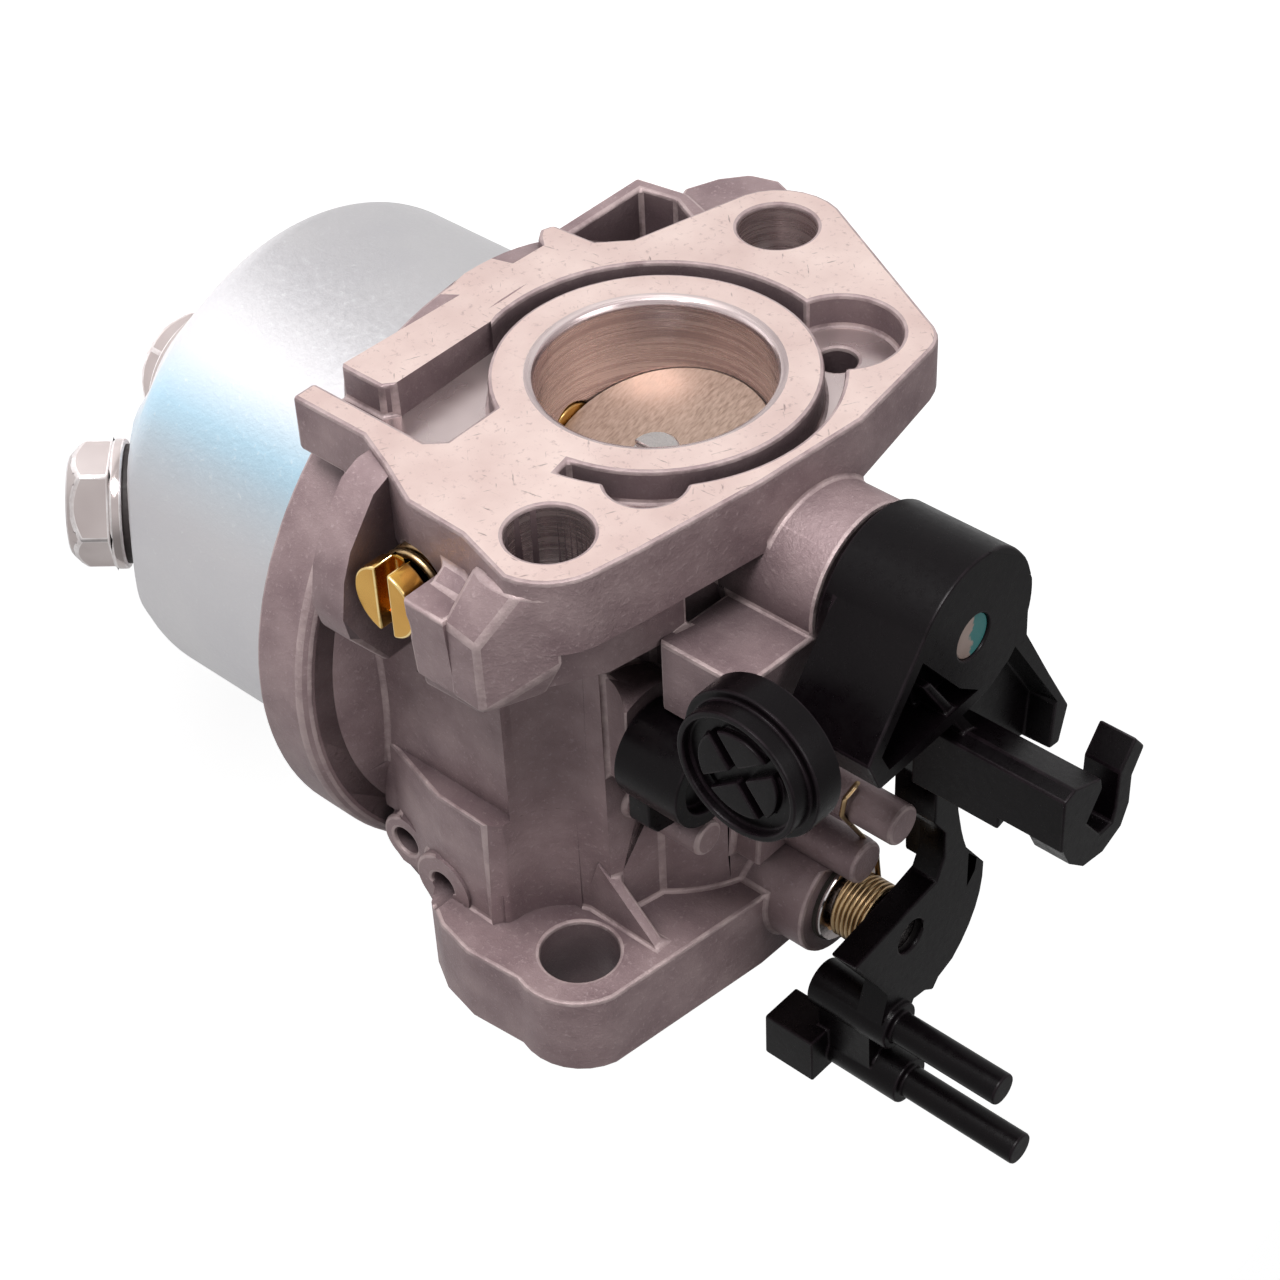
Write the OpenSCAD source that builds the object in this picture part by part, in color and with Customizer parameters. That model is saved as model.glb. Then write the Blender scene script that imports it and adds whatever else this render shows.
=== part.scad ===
// Small-engine float-bowl carburetor, built as an assembly.
// The bore runs along Y and the engine flange face lies on y = 0, facing -Y.
// The throttle and choke shafts stand along Z, and the float bowl hangs below.

/* [Flanges] */
// Length from the engine flange face to the air cleaner face
carb_length = 54; // [50:0.5:60]
// Radius of each stud hole
stud_r = 3.4; // [3.2:0.1:3.6]
// Stud hole beside the mixture screw, across the bore
stud_a_x = 20.5; // [19:0.5:22]
// The same hole, up from the bore
stud_a_z = 7.5; // [6:0.5:9]
// Stud hole beside the fuel inlet, across the bore
stud_b_x = -21.8; // [-23:0.2:-20]
// The same hole, up from the bore
stud_b_z = -5.5; // [-7:0.5:-4]
// Engine flange thickness
flange_t = 7; // [6:0.5:9]

/* [Bore] */
// Radius of the throttle bore
bore_r = 9.7; // [9:0.1:10.5]
// Radius of the venturi throat
throat_r = 7.2; // [6.5:0.1:8]
// Radius of the choke bore
choke_bore_r = 11.5; // [11:0.1:12.5]
// Throttle shaft distance from the engine flange face
throttle_y = 10.75; // [10:0.25:12]
// Throttle plate angle from shut
throttle_rest = 16; // [5:1:25]
// Choke shaft distance from the engine flange face
choke_y = 47.4; // [46:0.1:48]

/* [Float bowl] */
// Bowl centre distance from the engine flange face
bowl_y = 27.7; // [27:0.1:29]
// Bowl outer radius
bowl_r = 23.6; // [22:0.1:25]
// Height of the bowl floor, outside
bowl_floor_z = -57; // [-60:0.5:-52]
// Sheet thickness of the bowl
bowl_t = 0.8; // [0.6:0.1:1.2]
// Height where the bowl's wall turns in to its cone
bowl_knee_z = -41; // [-44:0.5:-38]
// Radius of the flat under the bowl bolt
bowl_flat_r = 10; // [8:0.5:13]
// Tilt of the drain pad from level
pad_tilt = 45; // [38:1:50]

/* [Hidden] */

ring_r = 27.8;
ring_z = -21.2;
ring_top_z = -15.4;
roof_z = -13;
hinge_y = 9.6;
hinge_z = -19.4;
float_drop = 8;
needle_y = 14.6;
inlet_y = 12.8;
inlet_z = -15.8;
mix_y = 7.8;
mix_z = -3.4;
stop_y = 15;
stop_z = 24.8;
pilot_x = 14.8;
pilot_y = 23.2;
pilot_z = 11.4;
jet_x = 13;
shaft_r = 2.5;
fit = 0.04;
$fn = 64;

// Rods laid along each axis.
module rod_y(r, y0, y1, x = 0, z = 0) {
  translate([x, y1, z]) rotate([90, 0, 0]) cylinder(r = r, h = y1 - y0);
}
module rod_x(r, x0, x1, y = 0, z = 0) {
  translate([x0, y, z]) rotate([0, 90, 0]) cylinder(r = r, h = x1 - x0);
}
module rod_z(r, z0, z1, x = 0, y = 0) {
  translate([x, y, z0]) cylinder(r = r, h = z1 - z0);
}
// Slabs cut from outlines in [x, z], [y, z] and [x, y].
module slab_y(y0, y1) {
  translate([0, y1, 0]) rotate([90, 0, 0]) linear_extrude(y1 - y0) children();
}
module slab_x(x0, x1) {
  translate([x0, 0, 0]) rotate([90, 0, 90]) linear_extrude(x1 - x0) children();
}
module slab_z(z0, z1) {
  translate([0, 0, z0]) linear_extrude(z1 - z0) children();
}
function arc(cx, cy, r, a0, a1, n) =
  [for (i = [0:n]) let(a = a0 + (a1 - a0) * i / n) [cx + r * cos(a), cy + r * sin(a)]];

// Outlines of the castings

module engine_flange_outline() {
  polygon(concat(
    [[15.5, -20], [-7.4, -19], [-8, -20.3], [-9, -21], [-10.2, -20.6], [-10.5, -16.1], [-12.8, -13.8],
      [-17.5, -12.6]],
    arc(stud_b_x, stud_b_z, 5.9, 262, 158, 8),
    arc(-15.2, 11.6, 3.9, 160, 100, 5),
    [[-5, 16.9], [6, 15.9], [17.6, 14.1]],
    arc(stud_a_x, stud_a_z, 5.9, 75, 8, 6),
    [[24.7, 2.5], [24.5, -3.5], [22.4, -8], [20.8, -12], [20.8, -20], [18.4, -20]]
  ));
}

// The sunk channel round the bore: a moat, two pockets and the mouth above the bowl.
module flange_channel_outline() {
  difference() {
    union() {
      difference() {
        circle(r = 15);
        polygon([[0, 0], [24, 4.8], [24, -13.3]]);
      }
      translate([-13.2, 8.3]) circle(r = 5);
      translate([11.2, 8.9]) circle(r = 3.2);
      polygon([[11.5, -6.4], [17.2, -6.3], [18.4, -7.6], [18.4, -21], [15.5, -21],
        [15.5, -15.4], [14.6, -14.8], [3.5, -14.8]]);
    }
    circle(r = 13.4);
  }
}

module air_flange_outline() {
  polygon(concat(
    arc(stud_a_x, stud_a_z, 6, 70, -20, 8),
    [[26.6, 0], [25.8, -3.8], [24.2, -6.6], [21.5, -8.2], [16, -9.5]],
    arc(0, 0, 16.8, -40, -120, 8),
    arc(stud_b_x, stud_b_z, 6, -105, -200, 8),
    arc(0, 0, 16.3, 140, 106, 4),
    [[6, 15.4]]
  ));
}

// Ring that takes the bowl, with the groove round its top and the barrel inside it.
module chamber_ring() {
  translate([0, bowl_y, 0]) rotate_extrude() polygon([
    [0, ring_z], [ring_r, ring_z], [ring_r, ring_top_z - 0.8], [ring_r - 0.8, ring_top_z],
    [ring_r - 1.2, ring_top_z], [ring_r - 1.6, ring_top_z - 3], [25.3, ring_top_z - 3],
    [25.3, ring_top_z - 0.8], [24.6, ring_top_z], [20, ring_top_z + 2], [0, ring_top_z + 2]
  ]);
}

// Flank of the chamber between the flanges, hollowed beside the stud.
module chamber_flank() {
  intersection() {
    slab_y(5, 48) polygon(concat(
      [[-16, 7], [-19.5, 1.5], [-19.5, -16], [20.5, -16], [20.5, 0.4]],
      arc(21.8, 6.7, 5.9, 262, 180, 8),
      [[15.9, 7.2], [10, 8.5]]
    ));
    rod_z(25.3, -20, 10, 0, bowl_y);
  }
  slab_y(34, 48) polygon(concat(
    [[12, -14], [20.5, -14], [22.7, -6], [22.7, -0.6], [22, 0.6]],
    arc(21.8, 6.7, 5.9, 268, 180, 8),
    [[12, 6.7]]
  ));
}

// Housing of the mixture screw: a cheek on each side of its head.
module screw_cheeks() {
  difference() {
    slab_z(-10.8, -7.3) polygon([[12, 0.6], [22.6, 0.6], [24.4, 1.4], [27.4, 5.2], [28.4, 7.6],
      [29, 11], [28.4, 13.6], [25, 18], [12, 18]]);
    translate([26, 0.4, -7.3]) rotate([50, 0, 0]) translate([-8, -9, 0]) cube([16, 12, 8]);
  }
  slab_z(-0.1, 4.2) polygon([[12, 5], [29, 5], [28.4, 12.6], [20, 17.5], [12, 17.5]]);
  // Wedge behind the stud ear, sloping away from the machined face
  difference() {
    union() {
      slab_y(2, 12) polygon([[16, 0.2], [28.4, 0.2], [28, 7.2], [19.5, 12], [12, 13.4], [12, 0.2]]);
      slab_y(12, 14) polygon([[16, 0.2], [28, 0.2], [27.8, 6], [19.5, 9.6], [16, 9.6]]);
    }
    translate([28.2, 6.4, 0]) rotate([0, 0, 36]) translate([-20, -10, -1]) cube([30, 10, 20]);
  }
}

// Posts, pegs and webs on the lever side.
module lever_side_posts() {
  rod_z(6.9, 0, 21.6, 0, throttle_y);
  rod_z(5.6, 0, 19.4, 0, choke_y);
  rod_z(3, 0, 18.5, 3.6, 19.6);
  rod_z(1.9, 0, 26, 0.2, 34.6);
  rod_z(2, 0, 22.4, 0.4, 41.2);
  rod_z(1.6, 0, 15.5, 12.6, 33.2);
  // Boss of the pilot jet, cut back where the stud passes
  difference() {
    rod_z(5.6, 0, pilot_z, pilot_x, pilot_y);
    rod_y(6.3, 10, 34, 21.8, 6.7);
  }
  slab_z(0, 15) polygon([[-5, 22], [4, 22], [6, 42], [-5, 42]]);
  slab_x(15, 16.2) polygon([[39.5, 6], [45.8, 12.6], [45.8, 4]]);
  // Bracket of the idle stop screw, out from the throttle boss
  slab_z(13, 21.6) polygon([[4, 12], [13.5, 11.4], [15, 11.4], [15, 18.2], [13, 18.2], [4, 17.4]]);
  slab_x(13.5, 15) polygon([[11.4, 13], [18.2, 13], [18.2, 23], [11.4, 23]]);
  rod_x(3.4, 13.5, 16.6, stop_y, stop_z);
}

// Lug over the ring, with an eye in it and a loop beside it.
module ring_lug() {
  rod_x(3.2, 15, 23, 44.8, -6.3);
  slab_x(15, 22.2) polygon([[42, -8], [40.8, -3], [42.4, 0.4], [46, 0.4], [48, -5]]);
  rod_x(2.7, 17, 21.4, 44.6, -12.4);
  slab_x(17, 21.2) polygon([[43, -14.4], [41.6, -8], [48, -5.4], [50, -8], [47, -13.4]]);
}

// Boss on the far side that takes the inlet pipe.
module inlet_boss() {
  difference() {
    slab_y(1.2, 17) polygon([[-9, -21], [-21.6, -21], [-22.4, -16], [-20, -9], [-9, -9]]);
    slab_y(0, 6.4) polygon([[-10.6, -19.8], [-20.4, -19.8], [-21, -16.2], [-19, -12], [-10.6, -12]]);
  }
  slab_y(3.4, 16) polygon([[-20, -14], [-23.4, -18.2], [-25.4, -19.2], [-28.6, -17.9],
    [-30.8, -16.1], [-31.6, -13.4], [-30, -9.4], [-20, -9.4]]);
  rod_x(4.2, -32.4, -19, inlet_y, inlet_z);
}

module body_solid() {
  slab_y(0, 5.2) engine_flange_outline();
  difference() {
    slab_y(5, flange_t) difference() {
      engine_flange_outline();
      translate([12, -24]) square([12, 9]);
      translate([-12, -24]) square([24, 9]);
    }
    translate([-18, 5.1, -14]) rotate([0, 0, 4.6]) translate([-14, 0, 0]) cube([40, 6, 40]);
  }
  rod_y(3.3, 4, 11, -13.2, 7.9);
  rod_y(5.4, 0, 9, stud_b_x, stud_b_z);
  rod_y(13.6, 2, carb_length - 2);
  chamber_ring();
  chamber_flank();
  screw_cheeks();
  slab_y(carb_length - 8.4, carb_length) air_flange_outline();
  lever_side_posts();
  ring_lug();
  inlet_boss();
}

module body_cavities() {
  // Bore with its venturi, as one revolved core
  rotate([-90, 0, 0]) rotate_extrude() polygon([
    [0, -1], [bore_r + 1.5, -1], [bore_r + 0.5, 0], [bore_r, 0.5], [bore_r, 17],
    [throat_r, 26], [throat_r, 30], [choke_bore_r - 1.5, 39], [choke_bore_r, 41.5],
    [choke_bore_r, carb_length - 0.5], [choke_bore_r + 0.5, carb_length],
    [choke_bore_r + 0.5, carb_length + 1], [0, carb_length + 1]
  ]);
  // Stud holes through both flanges
  rod_y(stud_r, -1, carb_length + 1, stud_a_x, stud_a_z);
  rod_y(stud_r, -1, carb_length + 1, stud_b_x, stud_b_z);
  // Channel in the engine face, and the tapped hole in its pocket
  slab_y(-1, 3) flange_channel_outline();
  rod_y(1.65, 2, 10, -13.2, 7.9);
  // Float chamber, round the nozzle column, the needle boss and the hinge ears
  difference() {
    intersection() {
      rod_z(22, ring_z - 1, roof_z, 0, bowl_y);
      union() {
        slab_z(ring_z - 1, ring_top_z - 1) square([60, 120], center = true);
        slab_z(ring_top_z - 2, roof_z) square([36, 120], center = true);
      }
    }
    rod_z(4.6, ring_z - 1, roof_z, 0, bowl_y);
    rod_z(4.2, -17.4, roof_z, 0, needle_y);
    rod_z(4, -15.6, roof_z, 0, choke_y);
    slab_x(-24, 0) polygon([[needle_y - 1.9, roof_z], [needle_y - 1.5, -14.9],
      [needle_y + 1.5, -14.9], [needle_y + 1.9, roof_z]]);
    for (s = [-1, 1]) translate([s * 7.6 - 1.4, 4, ring_z]) cube([2.8, 7.4, 10]);
  }
  // Groove for the gasket and the bowl's rim
  difference() {
    rod_z(24.2, ring_z - 1, ring_z + 2.4, 0, bowl_y);
    rod_z(22.6, ring_z - 2, ring_z + 3, 0, bowl_y);
  }
  rod_x(0.78, -9.2, 9.2, hinge_y, hinge_z);
  // Needle seat and the fuel way to it
  rod_z(3, -18, -13.4, 0, needle_y);
  rod_z(0.9, -14, -12.9, 0, needle_y);
  rod_x(0.9, -20, 0, needle_y, -12.9);
  rod_z(0.9, -19, -12.4, -20, needle_y - 0.6);
  // Shafts
  rod_z(shaft_r + fit, -12.2, 22, 0, throttle_y);
  rod_z(2.2 + fit, -14.6, 20, 0, choke_y);
  // Mixture screw and idle stop screw
  rod_x(1.75 + fit, 4, 40, mix_y, mix_z);
  rod_x(2.9, 19.4, 40, mix_y, mix_z);
  rod_x(3.5, 24.1, 40, mix_y, mix_z);
  rod_x(2 + fit, 10, 18, stop_y, stop_z);
  // Wells of the main nozzle and the pilot jet
  rod_z(2.2, -60, 0, 0, bowl_y);
  rod_z(2.6, 9.4, 14, jet_x, pilot_y);
  rod_z(1, -14, 10, jet_x, pilot_y);
  // Socket of the inlet pipe, and the small drillings
  rod_x(2.2, -33, -19, inlet_y, inlet_z);
  rod_y(0.9, carb_length - 6, carb_length + 1, -6, -13.8);
  rod_y(0.7, carb_length - 6, carb_length + 1, 6, -13.8);
  rod_x(1.3, 20, 25, 44.8, -6.3);
  rod_x(1.4, 16, 25, 44.6, -12.4);
}

module carburetor_body() {
  color([0.62, 0.56, 0.57]) difference() {
    union() {
      body_solid();
      // Nozzle column down to the bowl floor
      rod_z(4.6, bowl_floor_z + bowl_t, roof_z, 0, bowl_y);
    }
    body_cavities();
    rod_z(3, bowl_floor_z, bowl_floor_z + 9.2, 0, bowl_y);
    rod_x(1, -6, 6, bowl_y, bowl_floor_z + 12);
  }
}

// Float bowl and the parts that close it

// Places its children on the drain pad, with the pad's outward normal along -Z.
module at_pad() {
  translate([0, bowl_y, 0]) rotate([0, 0, -5]) translate([18.4, 0, bowl_knee_z - 6.4])
    rotate([0, -pad_tilt, 0]) children();
}

// The bowl's form: a wall, a cone down to the flat, and the round drain pad on the cone.
module bowl_form(r, inset) {
  knee = 2.4;
  intersection() {
    union() {
      translate([0, bowl_y, 0]) rotate_extrude() polygon(concat(
        [[0, ring_z + 1.4], [r, ring_z + 1.4]],
        arc(r - knee, bowl_knee_z + 1, knee, 0, -40, 5),
        arc(bowl_flat_r - 1 - inset / 2, bowl_floor_z + 2 + inset, 2, -50, -90, 3),
        [[0, bowl_floor_z + inset]]
      ));
      at_pad() rod_z(7.4 - inset, inset, 9);
    }
    rod_z(r, bowl_floor_z - 1, ring_z + 2, 0, bowl_y);
  }
}

module float_bowl() {
  color([0.8, 0.82, 0.83]) difference() {
    bowl_form(bowl_r, 0);
    bowl_form(bowl_r - bowl_t, bowl_t);
    rod_z(22, ring_z, ring_z + 3, 0, bowl_y);
    rod_z(3.1, bowl_floor_z - 1, bowl_floor_z + 2, 0, bowl_y);
    at_pad() rod_z(2.6, -3, 3);
    at_pad() rod_z(6, -3, 0.02);
  }
}

module bowl_gasket() {
  color([0.1, 0.1, 0.1]) translate([0, bowl_y, 0]) difference() {
    rod_z(24.15, ring_z + 1.4, ring_z + 2.4);
    rod_z(22.65, ring_z + 1, ring_z + 3);
  }
}

// Flanged hex bolt: the flange stands on z = 0, the head hangs below and the shank rises.
module flange_bolt(flange_r, shank_r, shank_len) {
  cylinder(r = flange_r, h = 1.2);
  translate([0, 0, -4]) intersection() {
    cylinder(r = 10 / sqrt(3), h = 4.6, $fn = 6);
    translate([0, 0, -1]) cylinder(r1 = 3.4, r2 = 11.4, h = 8);
  }
  cylinder(r = shank_r, h = shank_len);
}

module bowl_bolt() {
  color([0.85, 0.85, 0.86]) translate([0, bowl_y, bowl_floor_z - 2.2]) rotate([0, 0, 12])
    flange_bolt(7.2, 2.95, 10);
}

module bowl_bolt_washer() {
  color([0.5, 0.2, 0.15]) translate([0, bowl_y, bowl_floor_z - 1]) difference() {
    cylinder(r = 6.6, h = 1);
    translate([0, 0, -1]) cylinder(r = 2.95, h = 3);
  }
}

module drain_bolt() {
  color([0.85, 0.85, 0.86]) at_pad() translate([0, 0, -2]) flange_bolt(5.9, 2.5, 8);
}

module drain_bolt_washer() {
  color([0.15, 0.13, 0.13]) at_pad() translate([0, 0, -0.8]) difference() {
    cylinder(r = 5.4, h = 0.8);
    translate([0, 0, -1]) cylinder(r = 2.5, h = 3);
  }
}

// Fuel inlet, needle and float

// Places its children at the float's hinge, tilted as the float hangs.
module at_float() {
  translate([0, hinge_y, hinge_z]) rotate([-float_drop, 0, 0]) children();
}

module float() {
  arm_y = bowl_y - hinge_y;
  color([0.12, 0.12, 0.13]) at_float() difference() {
    union() {
      translate([0, arm_y + 0.6, 0]) rod_z(19.4, -14.5, -6);
      translate([-4.4, 0, -1]) cube([8.8, 6.2, 1.8]);
      translate([-4.4, 3.6, -7]) cube([8.8, 2.6, 6.4]);
      rod_x(1.5, -4.4, 4.4);
    }
    translate([0, arm_y, 0]) rod_z(7.8, -15, -5);
    translate([-20, -8, -15]) cube([40, 10.6, 10]);
    rod_x(0.78 + fit, -6, 6);
  }
}

module float_hinge_pin() {
  color([0.75, 0.75, 0.77]) rod_x(0.78, -9, 9, hinge_y, hinge_z);
}

module float_needle() {
  color([0.75, 0.72, 0.6]) translate([0, needle_y, -15.15]) {
    rod_z(1.75, -3.6, 0);
    cylinder(r1 = 1.75, r2 = 0.5, h = 1.25);
  }
}

module needle_seat() {
  color([0.78, 0.62, 0.3]) difference() {
    rod_z(3, -17.2, -13.4, 0, needle_y);
    rod_z(2.1, -18, -14.6, 0, needle_y);
    translate([0, needle_y, -14.6]) cylinder(r1 = 2.1, r2 = 0.9, h = 1.2);
  }
}

module fuel_inlet_pipe() {
  color([0.75, 0.74, 0.7]) difference() {
    union() {
      rod_x(2.2, -40, -19, inlet_y, inlet_z);
      rod_x(2.7, -38, -36.4, inlet_y, inlet_z);
      translate([-38, inlet_y, inlet_z]) rotate([0, -90, 0]) cylinder(r1 = 2.7, r2 = 2.2, h = 1.6);
    }
    rod_x(1.4, -41, -18, inlet_y, inlet_z);
  }
}

// Jets

module main_nozzle() {
  color([0.8, 0.64, 0.3]) difference() {
    rod_z(2.2, -36, -3.2, 0, bowl_y);
    rod_z(1.1, -37, -2, 0, bowl_y);
    for (k = [0:3]) rod_x(0.4, -3, 3, bowl_y, -16 - 4 * k);
  }
}

module main_jet() {
  color([0.8, 0.64, 0.3]) difference() {
    rod_z(2.2, -42, -36, 0, bowl_y);
    rod_z(0.5, -43, -35, 0, bowl_y);
    translate([-0.4, bowl_y - 3, -43]) cube([0.8, 6, 1.8]);
  }
}

module pilot_jet_cap() {
  color([0.06, 0.06, 0.07]) translate([pilot_x, pilot_y, pilot_z]) difference() {
    union() {
      rod_z(4.4, 0, 6.6);
      slab_z(0, 2.2) polygon([[-4, -1], [2.8, -1], [2.9, 6], [1.8, 7.4], [-1.4, 8.1], [-3.6, 6.4]]);
      rod_z(1.7, -1.8, 1, jet_x - pilot_x);
    }
    rod_z(1, -3, 2, jet_x - pilot_x);
    rod_z(3.1, 5.4, 8);
  }
}

module pilot_jet() {
  color([0.8, 0.64, 0.3]) difference() {
    rod_z(1, -13, pilot_z + 1, jet_x, pilot_y);
    rod_z(0.4, -14, pilot_z, jet_x, pilot_y);
  }
}

module pilot_jet_oring() {
  color([0.1, 0.1, 0.1]) translate([jet_x, pilot_y, pilot_z - 1]) rotate_extrude()
    translate([2.15, 0]) circle(r = 0.45, $fn = 24);
}

// Adjusting screws

module idle_stop_screw() {
  color([0.05, 0.05, 0.06]) difference() {
    union() {
      rod_x(2, 13.1, 18, stop_y, stop_z);
      difference() {
        rod_x(6.6, 15.4, 18.2, stop_y, stop_z);
        rod_x(4.4, 15, 17.2, stop_y, stop_z);
      }
      rod_x(5.8, 17.6, 20, stop_y, stop_z);
    }
    // Sunk face round the slotted centre
    difference() {
      rod_x(5.2, 19.1, 21, stop_y, stop_z);
      rod_x(3.9, 19, 22, stop_y, stop_z);
    }
    rod_x(5.2, 19.8, 21, stop_y, stop_z);
    for (a = [38, 128]) translate([19.8, stop_y, stop_z]) rotate([a, 0, 0])
      cube([1.8, 7.9, 1], center = true);
  }
}

module mixture_screw() {
  color([0.85, 0.65, 0.25]) difference() {
    union() {
      rod_x(1.75, 12, 25, mix_y, mix_z);
      translate([12, mix_y, mix_z]) rotate([0, -90, 0]) cylinder(r1 = 1.2, r2 = 0.4, h = 3.4);
      rod_x(3.2, 24.4, 28, mix_y, mix_z);
    }
    translate([27.2, mix_y, mix_z]) cube([3, 8, 1.3], center = true);
  }
}

// Wire coil standing on z = 0: a crescent section swept up the helix.
module wire_coil(mean_r, wire_r, pitch, turns) {
  span = 180 * (2 * wire_r / pitch) * 0.96;
  half = 4;
  linear_extrude(height = pitch * turns, twist = -360 * turns, slices = round(turns * 14), $fn = 8)
    polygon(concat(
      [for (i = [-half:half]) let(u = i / half)
        (mean_r + wire_r * sqrt(max(0, 1 - u * u))) * [cos(u * span), sin(u * span)]],
      [for (i = [-half + 1:half - 1]) let(u = -i / half)
        (mean_r - wire_r * sqrt(1 - u * u)) * [cos(u * span), sin(u * span)]]
    ));
}

module mixture_screw_spring() {
  color([0.7, 0.6, 0.4]) translate([19.4, mix_y, mix_z]) rotate([0, 90, 0])
    wire_coil(2.3, 0.32, 1, 5);
}

// Throttle

module throttle_shaft() {
  color([0.75, 0.6, 0.3]) translate([0, throttle_y, 0]) difference() {
    union() {
      rod_z(shaft_r, -11.9, 22.3);
      rod_z(2, 22, 31.6);
    }
    // Milled flat that seats the plate, tapped for its screw
    rotate([0, 0, throttle_rest]) translate([-4, -4.6, -9.6]) cube([8, 4, 19.2]);
    rotate([0, 0, throttle_rest]) rod_y(1.25, -3, 3);
  }
}

module throttle_plate() {
  color([0.8, 0.76, 0.68]) translate([0, throttle_y, 0]) difference() {
    intersection() {
      rod_y(bore_r - 0.12, -6, 6);
      rotate([0, 0, throttle_rest]) rod_y(12, -1.6, -0.6);
    }
    rotate([0, 0, throttle_rest]) rod_y(1.25, -3, 3);
  }
}

module throttle_plate_screw() {
  color([0.8, 0.8, 0.82]) translate([0, throttle_y, 0]) rotate([0, 0, throttle_rest]) difference() {
    union() {
      rod_y(1.25, -2, 2.3);
      rod_y(2.3, -2.9, -1.6);
    }
    translate([0, -3, 0]) cube([0.6, 1.2, 6], center = true);
  }
}

// Hollow hub with a stop arm on one side and the governor arm, post and hook on the other.
module throttle_lever() {
  color([0.05, 0.05, 0.06]) translate([0, throttle_y, 0]) difference() {
    union() {
      difference() {
        union() {
          rod_z(7.5, 22.3, 31.8);
          slab_z(23.4, 31.8) polygon([[6.4, -3.9], [12.8, 4.4], [11.4, 7.6], [0, 7.4], [0, 0]]);
        }
        rod_z(6.3, 26, 29.4);
        slab_z(25.4, 33) polygon([[1.5, 4.2], [6.4, -1.8], [11.2, 4.4], [10.2, 6.4], [-1, 6.1]]);
      }
      rod_z(3.4, 22.3, 31.8);
      // Governor arm: floor, rib and outer wall
      slab_z(27.4, 29) polygon([[-7.2, 1.2], [5.4, 2], [1.4, 10.6], [1.4, 17], [-12, 20.6],
        [-13.4, 16.6]]);
      slab_z(27.4, 31.5) polygon([[4.8, 1.5], [5.9, 1.3], [-2.5, 14.4], [-4, 14.7]]);
      slab_z(27.4, 31.7) polygon([[-7.3, 1.4], [-5.4, 4.2], [-12.4, 15.8], [-12, 20.6], [-13.4, 20.8],
        [-14.4, 17.2], [-7.4, 5]]);
      // Governor post and the hook that closes the link slot
      slab_z(27.4, 36) polygon([[1.4, 10.4], [0, 9.9], [-3.6, 11.4], [-3.9, 12.6], [-2.4, 16], [1.4, 17]]);
      slab_z(27.4, 42) polygon([[1.4, 10.3], [0, 9.9], [-3.6, 11.4], [-3.9, 12.6], [-2, 15.2], [1.4, 15.8]]);
      slab_z(38.5, 42) polygon([[1.4, 15.2], [0.1, 17.9], [-2, 19.8], [-5, 20.4], [-7.3, 19.4], [-8.2, 17.4],
        [-8.2, 14.4], [-9.6, 12.2], [-8.2, 10.4], [-6.3, 12.8], [-6.2, 16.6], [-5.8, 17.9], [-4.2, 17.9],
        [-2, 15]]);
    }
    rod_z(2, 20, 33);
    // The rim falls away toward the intake side
    translate([-4, -5.5, 31.8]) rotate([18, -14, 0]) translate([-10, -12, 0]) cube([24, 14, 6]);
  }
}

module throttle_shaft_seal() {
  color([0.12, 0.11, 0.1]) difference() {
    rod_z(4.6, 21.6, 22, 0, throttle_y);
    rod_z(shaft_r + fit, 21, 23, 0, throttle_y);
  }
}

// Choke

module choke_shaft() {
  color([0.75, 0.75, 0.77]) translate([0, choke_y, 0]) difference() {
    rod_z(2.2, -14.3, 26);
    // Milled flat that seats the plate, tapped for its screws
    translate([-4.4, -4, -11.4]) cube([4, 8, 22.8]);
    for (s = [-1, 1]) translate([0, 0, 4.5 * s]) rod_x(1, -4, 4);
  }
}

module choke_plate() {
  color([0.75, 0.75, 0.76]) translate([-0.4, choke_y, 0]) difference() {
    rod_x(choke_bore_r - 0.3, -0.9, 0);
    rod_x(2, -2, 2, 6, 0);
    for (s = [-1, 1]) translate([0, 0, 4.5 * s]) rod_x(1, -4, 4);
  }
}

module choke_plate_screws() {
  color([0.8, 0.8, 0.82]) translate([0, choke_y, 0]) for (s = [-1, 1]) translate([0, 0, 4.5 * s]) {
    rod_x(1, -1.6, 2);
    rod_x(1.9, -2.3, -1.3);
  }
}

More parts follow.
